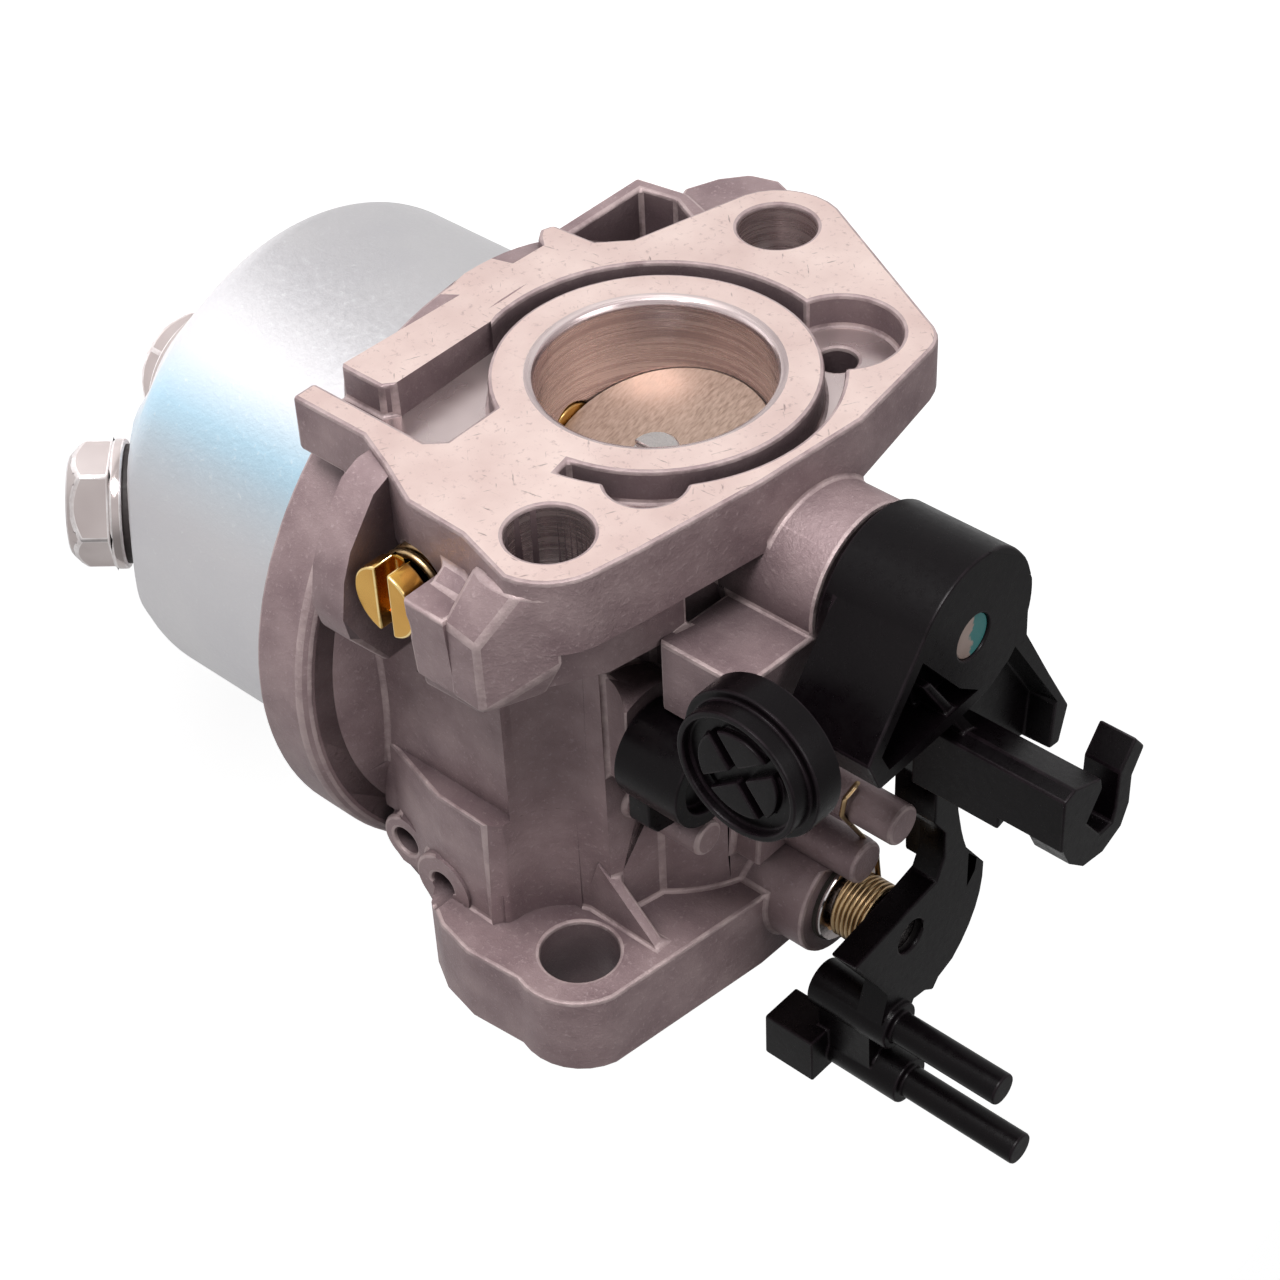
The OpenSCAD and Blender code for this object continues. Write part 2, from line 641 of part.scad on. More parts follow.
// Sector plate on the shaft, with the spring arm, two link pins and the cable tab.
module choke_lever() {
  color([0.05, 0.05, 0.06]) difference() {
    union() {
      slab_z(24.3, 27) polygon(concat(
        [[7.7, 45], [2.6, 52.7], [1, 55.9], [-2.4, 56.4], [-3.6, 57.3], [-4.4, 56.3]],
        arc(0, choke_y, 10.4, 128, 185, 6),
        [[-7.5, 42.4], [-6.8, 39.7], [-6.2, 36.9], [-6, 32.4], [-2.8, 31.6], [-2.8, 36],
          [-4.4, 38.4], [-4.4, 41.3], [-3.4, 43.4], [0, 43.8]]
      ));
      slab_z(22.6, 25) polygon([[-6.2, 36.9], [-6, 32.4], [-2.8, 31.6], [-2.8, 36], [-4.4, 38.4],
        [-4.6, 43], [-6.4, 43]]);
      // Collars, pins and the web between them
      rod_z(2.3, 19, 27.6, 2, 56.8);
      rod_z(1.5, 24, 38.7, 2, 56.8);
      slab_z(24.3, 27) polygon([[-3, 54], [3, 52], [4.2, 56.6], [0, 57]]);
      rod_z(2.3, 20, 28.6, 1.6, 63.6);
      rod_z(1.5, 24, 40.6, 1.6, 63.6);
      slab_z(20, 25.6) polygon([[0.2, 57], [3.8, 57], [3.6, 63], [0, 63]]);
      slab_z(15.6, 21) polygon([[1.6, 60.6], [6, 60.6], [6, 65.5], [1.6, 65.5]]);
    }
    rod_z(2.2, 20, 26, 0, choke_y);
    rod_z(1.7, 25.5, 28, 0, choke_y);
    // Window in the ear
    slab_z(24, 28) polygon([[-7.9, 43.4], [-9.2, 45], [-9, 46.4], [-7.9, 47.6]]);
  }
}

module choke_spring() {
  color([0.7, 0.6, 0.4]) translate([0, choke_y, 20.1]) wire_coil(2.9, 0.25, 0.56, 7);
}

module choke_spring_washer() {
  color([0.8, 0.8, 0.82]) difference() {
    rod_z(4, 19.7, 20.1, 0, choke_y);
    rod_z(2.2 + fit, 19, 21, 0, choke_y);
  }
}

module choke_shaft_seal() {
  color([0.12, 0.11, 0.1]) difference() {
    rod_z(4.1, 19.4, 19.7, 0, choke_y);
    rod_z(2.2 + fit, 19, 21, 0, choke_y);
  }
}

carburetor_body();
float_bowl();
bowl_gasket();
bowl_bolt();
bowl_bolt_washer();
drain_bolt();
drain_bolt_washer();
float();
float_hinge_pin();
float_needle();
needle_seat();
fuel_inlet_pipe();
main_nozzle();
main_jet();
pilot_jet_cap();
pilot_jet();
pilot_jet_oring();
idle_stop_screw();
mixture_screw();
mixture_screw_spring();
throttle_shaft();
throttle_plate();
throttle_plate_screw();
throttle_lever();
throttle_shaft_seal();
choke_shaft();
choke_plate();
choke_plate_screws();
choke_lever();
choke_spring();
choke_spring_washer();
choke_shaft_seal();
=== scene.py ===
import math

import bmesh
import bpy
from mathutils import Matrix, Vector, kdtree
from mathutils.bvhtree import BVHTree


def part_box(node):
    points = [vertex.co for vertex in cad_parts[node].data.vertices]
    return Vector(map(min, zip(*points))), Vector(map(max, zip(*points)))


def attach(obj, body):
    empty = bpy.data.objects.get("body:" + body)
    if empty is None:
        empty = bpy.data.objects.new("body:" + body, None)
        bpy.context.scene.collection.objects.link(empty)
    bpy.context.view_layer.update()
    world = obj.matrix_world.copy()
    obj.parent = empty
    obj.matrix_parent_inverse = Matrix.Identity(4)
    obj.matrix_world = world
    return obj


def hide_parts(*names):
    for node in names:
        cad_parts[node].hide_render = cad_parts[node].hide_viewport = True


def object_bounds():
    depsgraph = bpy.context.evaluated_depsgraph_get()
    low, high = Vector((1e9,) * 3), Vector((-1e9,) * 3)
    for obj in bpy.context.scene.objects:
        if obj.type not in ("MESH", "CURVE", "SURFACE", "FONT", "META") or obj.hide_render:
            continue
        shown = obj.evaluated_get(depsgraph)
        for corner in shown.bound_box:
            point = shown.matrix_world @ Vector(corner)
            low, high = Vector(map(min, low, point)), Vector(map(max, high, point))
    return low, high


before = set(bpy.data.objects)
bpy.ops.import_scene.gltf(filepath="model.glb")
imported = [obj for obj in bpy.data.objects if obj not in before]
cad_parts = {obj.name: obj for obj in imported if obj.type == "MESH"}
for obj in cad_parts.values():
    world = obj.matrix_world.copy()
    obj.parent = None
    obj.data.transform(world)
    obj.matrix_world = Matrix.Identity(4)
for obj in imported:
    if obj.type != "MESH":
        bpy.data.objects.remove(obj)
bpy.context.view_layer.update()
scene = bpy.context.scene

# ---------------------------------------------------------------------------
# Carburetor body.
# One pressure die casting in aluminium alloy. The skin is matt and mauve-grey, its edges are
# rubbed bright, both flange faces are milled, and the bore is turned with the venturi in it.


def tone(red, green, blue):
    """A paint-chip colour from 0 to 255, as the linear colour that a shader takes."""
    parts = [v / 255 for v in (red, green, blue)]
    return (*[p / 12.92 if p <= 0.04 else ((p + 0.055) / 1.055) ** 2.4 for p in parts], 1.0)


def solid_copy(node, name, width=0.00025, angle=28.0, segments=2):
    """The CAD solid as one welded mesh with its sharp edges rounded; the rounds are marked as worn.
    Edges whose rounds would run past a narrow face are found by trial and stay sharp."""
    plain = bmesh.new()
    plain.from_mesh(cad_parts[node].data)
    bmesh.ops.remove_doubles(plain, verts=plain.verts, dist=1e-6)
    bmesh.ops.dissolve_limit(plain, angle_limit=math.radians(1.0), verts=plain.verts, edges=plain.edges)
    bmesh.ops.remove_doubles(plain, verts=plain.verts, dist=5e-5)
    plain.faces.layers.float.new("worn")
    skin = BVHTree.FromBMesh(plain)
    left_sharp = set()
    tries = 5
    for attempt in range(tries):
        mesh = plain.copy()
        sharp = [e for e in mesh.edges if e.index not in left_sharp and len(e.link_faces) == 2
                 and e.calc_face_angle(0.0) > math.radians(angle)]
        # Spots along every sharp edge, half a width apart, tell how far a corner has been thrown
        spots = []
        for edge in sharp:
            first, last = (v.co.copy() for v in edge.verts)
            count = max(1, int((last - first).length / width * 2))
            spots += [(first.lerp(last, i / count), edge.index) for i in range(count + 1)]
        near = kdtree.KDTree(len(spots))
        for index, (spot, _) in enumerate(spots):
            near.insert(spot, index)
        near.balance()
        rounds = bmesh.ops.bevel(mesh, geom=sharp, offset=width, offset_type="OFFSET", segments=segments,
                                 profile=0.5, affect="EDGES", clamp_overlap=False, material=-1)
        # A corner far from every spot has run past its face, which is too narrow for the round
        corners = {v for face in rounds["faces"] for v in face.verts}
        astray = {v for v in corners if near.find(v.co)[2] > 1.6 * width}
        causes = set()
        for corner in astray:
            for edge in corner.link_edges:
                other = edge.other_vert(corner)
                if other in corners and other not in astray:
                    causes |= {spots[i][1] for _, i, _ in near.find_range(other.co, 1.2 * width)}
        # A face that looks into the solid has been folded over by a round
        for face in mesh.faces:
            face.normal_update()
            middle = face.calc_center_median()
            if face.calc_area() > 1e-12 and skin.find_nearest(middle)[1].dot(face.normal) < -0.2:
                causes |= {spots[i][1] for _, i, _ in near.find_range(middle, 0.8 * width)}
        if not causes or attempt == tries - 1:
            break
        left_sharp |= causes
        mesh.free()
    plain.free()
    for corner in astray:
        held = [e.other_vert(corner).co for e in corner.link_edges if e.other_vert(corner) not in astray]
        if held:
            corner.co = sum(held, Vector()) / len(held)
    worn = mesh.faces.layers.float["worn"]
    for face in rounds["faces"]:
        face[worn] = 1.0
    return placed(mesh, name)


def placed(mesh, name, smooth_angle=38.0):
    """Makes the object, smooth but for its sharp edges, with flat faces kept flat."""
    for face in mesh.faces:
        face.smooth = True
    for edge in mesh.edges:
        edge.smooth = len(edge.link_faces) == 2 and edge.calc_face_angle(0.0) < math.radians(smooth_angle)
    data = bpy.data.meshes.new(name)
    mesh.to_mesh(data)
    mesh.free()
    piece = bpy.data.objects.new(name, data)
    scene.collection.objects.link(piece)
    flatten = piece.modifiers.new("flat_faces", "WEIGHTED_NORMAL")
    flatten.keep_sharp = True
    return piece


def feed(tree, socket, value):
    """Links an input if it is given a socket, and sets it if it is given a plain value."""
    if isinstance(value, bpy.types.NodeSocket):
        tree.links.new(value, socket)
    else:
        socket.default_value = value


def put(tree, kind, **sockets):
    """Adds a node; each keyword feeds the input of that name."""
    made = tree.nodes.new(kind)
    for key, value in sockets.items():
        feed(tree, made.inputs[key.replace("_", " ")], value)
    return made


def arithmetic(tree, operation, *values):
    """One step of arithmetic on sockets or plain numbers."""
    made = tree.nodes.new("ShaderNodeMath")
    made.operation = operation
    for socket, value in zip(made.inputs, values):
        feed(tree, socket, value)
    return made.outputs[0]


def mixed(tree, factor, first, second):
    """Mixes two colours, each a socket or a plain colour."""
    made = tree.nodes.new("ShaderNodeMix")
    made.data_type = "RGBA"
    feed(tree, made.inputs[0], factor)
    feed(tree, made.inputs[6], first)
    feed(tree, made.inputs[7], second)
    return made.outputs[2]


def ranged(tree, value, low, high, to_low, to_high):
    """Turns the part of a value between low and high into another span, held at its ends."""
    return put(tree, "ShaderNodeMapRange", Value=value, From_Min=low, From_Max=high,
               To_Min=to_low, To_Max=to_high).outputs["Result"]


def noise(tree, where, scale, detail, roughness=0.5):
    """Fractal noise at that place, as one value."""
    return put(tree, "ShaderNodeTexNoise", Vector=where, Scale=scale, Detail=detail,
               Roughness=roughness).outputs["Fac"]


def in_object(tree):
    """The place on the piece, in metres, which moves with the piece."""
    return put(tree, "ShaderNodeTexCoord").outputs["Object"]


def blank(name, **sockets):
    """Starts a material, with these values on its shader."""
    material = bpy.data.materials.new(name)
    material.use_nodes = True
    shader = material.node_tree.nodes["Principled BSDF"]
    for key, value in sockets.items():
        shader.inputs[key.replace("_", " ")].default_value = value
    return material, material.node_tree, shader


def two_tone(tree, value, dark, light):
    """Two colours that follow the middle part of a noise."""
    return mixed(tree, ranged(tree, value, 0.3, 0.7, 0.0, 1.0), dark, light)


def dress(tree, shader, colour, uneven, rough):
    """Gives the shader its colour, and a roughness that follows an uneven value between two ends."""
    tree.links.new(colour, shader.inputs["Base Color"])
    tree.links.new(ranged(tree, uneven, 0.3, 0.7, *rough), shader.inputs["Roughness"])


def raised(tree, shader, height, strength, depth):
    """Gives the surface fine relief that follows a height, on a scale of this depth in metres."""
    relief = put(tree, "ShaderNodeBump", Strength=strength, Distance=depth, Height=height)
    tree.links.new(relief.outputs["Normal"], shader.inputs["Normal"])


def effect(name, inputs, outputs):
    """Starts a node group with these inputs, each with its value, and these outputs. Gives the group
    and the nodes at its two ends."""
    group = bpy.data.node_groups.new(name, "ShaderNodeTree")
    for key, value in inputs.items():
        socket = group.interface.new_socket(key, in_out="INPUT", socket_type="NodeSocketFloat")
        socket.default_value = value
    for key in outputs:
        group.interface.new_socket(key, in_out="OUTPUT", socket_type="NodeSocketFloat")
    return group, group.nodes.new("NodeGroupInput"), group.nodes.new("NodeGroupOutput")


# Grain of a surface: broad patches, fine specks, and the height of both.
grain_group, given, made = effect("surface_grain", {"Scale": 1.0}, ("Patches", "Specks", "Height"))
spot = in_object(grain_group)
broad = arithmetic(grain_group, "MULTIPLY", given.outputs["Scale"], 150.0)
fine = arithmetic(grain_group, "MULTIPLY", given.outputs["Scale"], 1900.0)
patches = noise(grain_group, spot, broad, 3.0, 0.6)
specks = noise(grain_group, spot, fine, 4.0, 0.7)
height = arithmetic(grain_group, "MULTIPLY_ADD", patches, 0.35, specks)
grain_group.links.new(patches, made.inputs["Patches"])
grain_group.links.new(specks, made.inputs["Specks"])
grain_group.links.new(height, made.inputs["Height"])

# Wear of the edges: the rounds marked on the mesh, broken up as handling breaks them up.
wear_group, given, made = effect("edge_wear", {"Amount": 1.0}, ("Mask",))
marked = wear_group.nodes.new("ShaderNodeAttribute")
marked.attribute_name = "worn"
rubbed = noise(wear_group, in_object(wear_group), 420.0, 4.0, 0.65)
shown = arithmetic(wear_group, "MULTIPLY", marked.outputs["Fac"],
                   ranged(wear_group, rubbed, 0.36, 0.6, 0.25, 1.0))
shown = arithmetic(wear_group, "MULTIPLY", shown, given.outputs["Amount"])
wear_group.links.new(shown, made.inputs["Mask"])

# Fine scratches in three directions, as handling and stacking leave on a milled face.
scratch_group, given, made = effect("scratches", {"Amount": 1.0}, ("Mask",))
spot = in_object(scratch_group)
lines = 0.0
for turn, thin in ((0.5, 0.12), (-0.8, 0.16), (1.45, 0.13)):
    laid = put(scratch_group, "ShaderNodeMapping", Vector=spot, Rotation=(0.0, turn, 0.0),
               Scale=(1.0, 1.0, thin))
    laid.vector_type = "TEXTURE"
    streaks = noise(scratch_group, laid.outputs["Vector"], 360.0, 3.0, 0.55)
    streaks = ranged(scratch_group, streaks, 0.665, 0.73, 0.0, 1.0)
    lines = arithmetic(scratch_group, "MAXIMUM", lines, streaks)
lines = arithmetic(scratch_group, "MULTIPLY", lines, given.outputs["Amount"])
scratch_group.links.new(lines, made.inputs["Mask"])


def use(tree, group, **inputs):
    """Places a shared effect in a material with its own values."""
    made = tree.nodes.new("ShaderNodeGroup")
    made.node_tree = group
    for key, value in inputs.items():
        made.inputs[key].default_value = value
    return made


def finish(name, dark, light, worn=None, grain=1.0, metallic=0.0, rough=(0.4, 0.6), bump=0.15, wear=1.0,
           specular=0.5, flecks=None, recess_shade=None):
    """A finish with grain: two tones in patches, flecks, painted shade in corners that ambient occlusion
    finds, worn edges, uneven roughness and fine relief."""
    material, tree, shader = blank(name, Metallic=metallic, Specular_IOR_Level=specular)
    surface = use(tree, grain_group, Scale=grain)
    colour = two_tone(tree, surface.outputs["Patches"], dark, light)
    if flecks:
        colour = mixed(tree, ranged(tree, surface.outputs["Specks"], 0.56, 0.7, 0.0, 0.6), colour, flecks)
    # Painted shade: the colour is darkened toward the shade colour where ambient occlusion finds nearby
    # walls
    if recess_shade:
        corner_occlusion = put(tree, "ShaderNodeAmbientOcclusion", Distance=0.011)
        corner_occlusion.samples = 6
        colour = mixed(tree, ranged(tree, corner_occlusion.outputs["AO"], 0.2, 0.85, 0.8, 0.0), colour, recess_shade)
    if worn:
        edges = use(tree, wear_group, Amount=wear)
        colour = mixed(tree, edges.outputs["Mask"], colour, worn)
    dress(tree, shader, colour, surface.outputs["Specks"], rough)
    raised(tree, shader, surface.outputs["Height"], bump, 0.0002)
    return material


# The skin's recesses get painted shade, a deep mauve, from ambient occlusion
cast_skin = finish("cast_skin", tone(132, 110, 113), tone(164, 142, 143), worn=tone(210, 190, 188),
                   grain=1.3, metallic=0.3, rough=(0.4, 0.6), bump=0.4, wear=0.5,
                   flecks=tone(184, 164, 164), recess_shade=tone(48, 36, 42))

# Milled faces: paler, with small pits, short scratches and a few dull patches.
milled, tree, shader = blank("milled_face", Metallic=0.55)
surface = use(tree, grain_group, Scale=0.8)
scratches = use(tree, scratch_group, Amount=1.0)
pale = two_tone(tree, surface.outputs["Patches"], tone(216, 190, 184), tone(236, 214, 207))
pits = ranged(tree, surface.outputs["Specks"], 0.57, 0.69, 0.0, 0.55)
pale = mixed(tree, pits, pale, tone(160, 134, 134))
scored = ranged(tree, scratches.outputs["Mask"], 0.0, 1.0, 0.0, 0.7)
pale = mixed(tree, scored, pale, tone(120, 98, 98))
dress(tree, shader, pale, surface.outputs["Specks"], (0.3, 0.5))
raised(tree, shader, surface.outputs["Height"], 0.12, 0.0001)

# Turned walls of the bore: fine rings round the axis and bright bands.
turned, tree, shader = blank("turned_bore", Metallic=0.9)
along = put(tree, "ShaderNodeMapping", Vector=in_object(tree), Scale=(0.02, 1.0, 0.02))
rings = noise(tree, along.outputs["Vector"], 3200.0, 3.0, 0.7)
dress(tree, shader, two_tone(tree, rings, tone(180, 162, 163), tone(230, 214, 212)), rings, (0.18, 0.34))
raised(tree, shader, rings, 0.25, 0.00005)

casting = solid_copy("carburetor_body", "casting", width=0.00035)
for material in (cast_skin, milled, turned):
    casting.data.materials.append(material)
# The two flange faces are milled, and the walls of the bore and of the stud holes are turned
air_face_y, flange_back_y = 0.054, 0.0072
bore_reach = 0.0124
stud_holes = ((0.0205, 0.0075), (-0.0218, -0.0055))
stud_hole_r = (0.0031, 0.0036)
milled_slot, turned_slot = 1, 2
for face in casting.data.polygons:
    middle, way = face.center, face.normal
    inward = way.x * middle.x + way.z * middle.z < 0.0
    if abs(middle.y) < 0.0001 and way.y < -0.98 or abs(middle.y - air_face_y) < 0.0002 and way.y > 0.98:
        face.material_index = milled_slot
    elif math.hypot(middle.x, middle.z) < bore_reach and 0.0 < middle.y < air_face_y and inward:
        face.material_index = turned_slot
    elif middle.y < flange_back_y:
        for hole_x, hole_z in stud_holes:
            out = Vector((middle.x - hole_x, 0.0, middle.z - hole_z))
            if stud_hole_r[0] < out.length < stud_hole_r[1] and out.normalized().dot(way) < -0.95:
                face.material_index = turned_slot
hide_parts("carburetor_body")
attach(casting, "carburetor")

# ---------------------------------------------------------------------------
# Shoulder beside the mixture screw.
# Part of the casting: it runs down from the stud's ear to the corner of the screw's housing. It is
# a closed block set into the casting, with rounded and rubbed edges.
millimetre = 0.001
block = bmesh.new()
for corner in ((25.6, 1.4, 4.6), (26.2, 1.4, 6.0), (26.4, 1.4, 7.5), (26.2, 1.4, 9.5), (25.3, 1.4, 11.0),
               (24.3, 1.4, 12.0), (24.3, 2.4, 3.8), (28.6, 6.2, 7.1), (28.7, 5.4, 3.8), (28.5, 13.0, 7.1),
               (28.5, 12.8, 3.8), (24.3, 12.5, 3.8), (24.3, 12.0, 10.0), (24.3, 8.0, 12.0)):
    block.verts.new(Vector(corner) * millimetre)
bmesh.ops.convex_hull(block, input=block.verts)
bmesh.ops.dissolve_limit(block, angle_limit=math.radians(4.0), verts=block.verts, edges=block.edges)
worn = block.faces.layers.float.new("worn")
outer = [e for e in block.edges if len(e.link_faces) == 2 and e.calc_face_angle(0.0) > math.radians(24)]
for face in bmesh.ops.bevel(block, geom=outer, offset=0.0004, offset_type="OFFSET", segments=2, profile=0.5,
                            affect="EDGES", clamp_overlap=True, material=-1)["faces"]:
    face[worn] = 1.0
bmesh.ops.recalc_face_normals(block, faces=block.faces)
shoulder = placed(block, "screw_housing_shoulder")
shoulder.data.materials.append(cast_skin)
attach(shoulder, "carburetor")

# ---------------------------------------------------------------------------
# Float bowl.
# Drawn from thin steel sheet and plated with zinc, with a painted blue reflection in one band down its
# side. Its rim is pressed into the casting's groove and it is held by the bolt through its floor.
zinc, tree, shader = blank("zinc_plate", Metallic=1.0)
surface = use(tree, grain_group, Scale=0.25)
spangle = use(tree, grain_group, Scale=0.9)
film = mixed(tree, ranged(tree, surface.outputs["Patches"], 0.35, 0.65, 0.0, 1.0), tone(206, 204, 208),
             tone(216, 214, 216))
# A painted blue reflection lies in one band down the side, toward the engine flange
place = put(tree, "ShaderNodeSeparateXYZ", Vector=in_object(tree))
blue_reflection = arithmetic(tree, "MULTIPLY", ranged(tree, place.outputs["X"], 0.0135, 0.0175, 0.0, 1.0),
                   ranged(tree, place.outputs["X"], 0.0185, 0.0225, 1.0, 0.0))
blue_reflection = arithmetic(tree, "MULTIPLY", blue_reflection, ranged(tree, place.outputs["Y"], 0.012, 0.024, 1.0, 0.0))
film = mixed(tree, blue_reflection, film, tone(180, 208, 224))
film = mixed(tree, ranged(tree, spangle.outputs["Specks"], 0.6, 0.75, 0.0, 0.5), film, tone(232, 234, 234))
dress(tree, shader, film, spangle.outputs["Specks"], (0.32, 0.46))
raised(tree, shader, spangle.outputs["Height"], 0.4, 0.0001)

low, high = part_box("float_bowl")
axis = Vector(((low.x + high.x) / 2, (low.y + high.y) / 2, 0.0))
wall, rim, floor_z = (high.x - low.x) / 2, high.z, low.z
knee, foot = 0.0036, 0.003
flat, mid_flat, bolt_hole = 0.0078, 0.0055, 0.0031
slope = math.radians(40)
knee_z, foot_z = floor_z + 0.0152, floor_z + foot
# Half of its section: the straight wall, the knee, the cone, the round at its foot and the floor
half = [(wall, rim + (knee_z - rim) * i / 12) for i in range(12)]
half += [(wall - knee + knee * math.cos(slope * i / 8), knee_z - knee * math.sin(slope * i / 8))
         for i in range(9)]
foot_round = [(flat + foot * math.sin(slope * (1 - i / 6)), foot_z - foot * math.cos(slope * (1 - i / 6)))
              for i in range(7)]
start, end = Vector(half[-1]), Vector(foot_round[0])
half += [tuple(start.lerp(end, i / 18)) for i in range(1, 18)]
half += foot_round + [(mid_flat, floor_z), (bolt_hole, floor_z)]
mesh = bmesh.new()
line = [mesh.verts.new(axis + Vector((r, 0.0, z))) for r, z in half]
edges = [mesh.edges.new(pair) for pair in zip(line, line[1:])]
bmesh.ops.spin(mesh, geom=line + edges, cent=axis, axis=(0, 0, 1), angle=2 * math.pi, steps=144,
               use_merge=True)
bmesh.ops.remove_doubles(mesh, verts=mesh.verts, dist=1e-6)
bmesh.ops.recalc_face_normals(mesh, faces=mesh.faces)
side = max(mesh.faces, key=lambda f: f.calc_center_median().z)
if side.normal.dot(side.calc_center_median() - axis - Vector((0, 0, rim))) < 0.0:
    bmesh.ops.reverse_faces(mesh, faces=mesh.faces)
# The round pad for the drain bolt is pressed out of the cone, and fades into it
pad_turn = Matrix.Rotation(math.radians(-5), 3, "Z")
pad_out = pad_turn @ Vector((1, 0, -1)).normalized()
pad_centre = axis + pad_turn @ Vector((0.0184, 0, floor_z + 0.0096))
pad_r, pad_fade, pad_depth = 0.0072, 0.0032, 0.008
for corner in mesh.verts:
    lift = (corner.co - pad_centre).dot(pad_out)
    reach = ((corner.co - pad_centre) - pad_out * lift).length
    if reach < pad_r + pad_fade and lift > -pad_depth:
        fade = min(1.0, max(0.0, (reach - pad_r) / pad_fade))
        corner.co -= pad_out * lift * (1 - fade * fade * (3 - 2 * fade))
        out = Vector((corner.co.x - axis.x, corner.co.y - axis.y, 0))
        if out.length > wall:
            corner.co -= out * (1 - wall / out.length)
bowl = placed(mesh, "bowl_pressing")
sheet = bowl.modifiers.new("sheet", "SOLIDIFY")
sheet.thickness = 0.0008
sheet.offset = -1.0
bowl.data.materials.append(zinc)
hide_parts("float_bowl")
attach(bowl, "carburetor")

# ---------------------------------------------------------------------------
# Bowl bolt and drain bolt.
# Flanged hexagon bolts, cold headed and bright plated, each on a sealing washer.
bright_plate = finish("bright_plate", tone(176, 164, 162), tone(206, 196, 194), worn=tone(240, 236, 236),
                      grain=0.5, metallic=1.0, rough=(0.1, 0.2), bump=0.06, wear=0.8)
for node in ("bowl_bolt", "drain_bolt"):
    bolt = solid_copy(node, node + "_head", width=0.00028, angle=24.0, segments=3)
    bolt.data.materials.append(bright_plate)
    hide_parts(node)
    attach(bolt, "carburetor")

fibre = finish("red_fibre", tone(104, 44, 34), tone(128, 60, 46), grain=1.6, rough=(0.7, 0.85), bump=0.4)
seal_black = finish("seal_rubber", tone(30, 24, 24), tone(44, 36, 36), grain=1.2, rough=(0.55, 0.75),
                    bump=0.25)
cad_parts["bowl_bolt_washer"].material_slots[0].material = fibre
for node in ("drain_bolt_washer", "bowl_gasket", "pilot_jet_oring"):
    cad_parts[node].material_slots[0].material = seal_black

# ---------------------------------------------------------------------------
# Fuel parts: float, hinge pin, needle, seat, nozzle, jets and inlet pipe.
# The float is a hollow ring of moulded black plastic on a steel pin. It lifts a steel needle into
# a brass seat, which closes the way from the plated inlet pipe. The nozzle and the jets are brass.
float_plastic = finish("float_plastic", tone(34, 33, 36), tone(48, 46, 50), worn=tone(74, 72, 76),
                       rough=(0.4, 0.55), bump=0.1)
plain_brass = finish("plain_brass", tone(176, 132, 64), tone(204, 162, 88), worn=tone(230, 196, 128),
                     grain=0.9, metallic=1.0, rough=(0.24, 0.38), bump=0.08)
steel = finish("ground_steel", tone(172, 166, 164), tone(198, 192, 190), worn=tone(222, 218, 216),
               grain=0.9, metallic=1.0, rough=(0.2, 0.34), bump=0.06)
for node, material in (("float", float_plastic), ("float_hinge_pin", steel), ("float_needle", steel),
                       ("needle_seat", plain_brass), ("main_nozzle", plain_brass),
                       ("main_jet", plain_brass), ("pilot_jet", plain_brass),
                       ("fuel_inlet_pipe", bright_plate)):
    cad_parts[node].material_slots[0].material = material

# ---------------------------------------------------------------------------
# Black plastic parts: throttle lever, choke lever, idle stop screw and pilot jet cap.
# Moulded acetal with a low sheen and faint purple reflections. The edges are rubbed a little grey
# where links and fingers touch them.
acetal = finish("black_acetal", tone(7, 4, 6), tone(12, 8, 10), worn=tone(44, 35, 40), grain=0.7,
                rough=(0.24, 0.38), bump=0.07, wear=0.4, specular=0.12)
for node, name, body in (("throttle_lever", "throttle_lever_moulding", "throttle"),
                         ("choke_lever", "choke_lever_moulding", "choke"),
                         ("idle_stop_screw", "idle_screw_moulding", "idle_adjuster"),
                         ("pilot_jet_cap", "pilot_cap_moulding", "carburetor")):
    moulding = solid_copy(node, name, width=0.00022, segments=2)
    moulding.data.materials.append(acetal)
    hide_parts(node)
    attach(moulding, body)

# ---------------------------------------------------------------------------
# Mixture screw and its spring.
# A turned and polished brass screw with one slot across its flat head, over a wound spring that
# keeps it from turning by itself.
gold_brass = finish("bright_brass", tone(196, 142, 62), tone(226, 178, 92), worn=tone(250, 224, 160),
                    grain=0.6, metallic=1.0, rough=(0.14, 0.26), bump=0.05)
screw = solid_copy("mixture_screw", "mixture_screw_turned", width=0.0002, segments=2)
screw.data.materials.append(gold_brass)
# The head is turned thin, so that the coils show behind it
low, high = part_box("mixture_screw")
middle = (low + high) / 2
head_back, stem_r, thinned = high.x - 0.0034, 0.002, 0.0014
for corner in screw.data.vertices:
    from_axis = math.hypot(corner.co.y - middle.y, corner.co.z - middle.z)
    if abs(corner.co.x - head_back) < 0.0004 and from_axis > stem_r:
        corner.co.x += thinned
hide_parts("mixture_screw")
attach(screw, "mixture_adjuster")


def wound_spring(name, start, axis, mean, wire, length, turns):
    """A spring of round wire: a small ring spun along a screw line, with closed ends."""
    mesh = bmesh.new()
    side = axis.orthogonal().normalized()
    upright = Matrix((side, axis, side.cross(axis))).transposed().to_4x4()
    bmesh.ops.create_circle(mesh, cap_ends=True, radius=wire, segments=10,
                            matrix=Matrix.Translation(start + side * mean) @ upright)
    steps = turns * 28
    bmesh.ops.spin(mesh, geom=mesh.verts[:] + mesh.edges[:] + mesh.faces[:], cent=start, axis=axis,
                   dvec=axis * (length / steps), angle=2 * math.pi * turns, steps=steps, use_merge=False)
    bmesh.ops.remove_doubles(mesh, verts=mesh.verts, dist=1e-7)
    bmesh.ops.recalc_face_normals(mesh, faces=mesh.faces)
    return placed(mesh, name, 50.0)


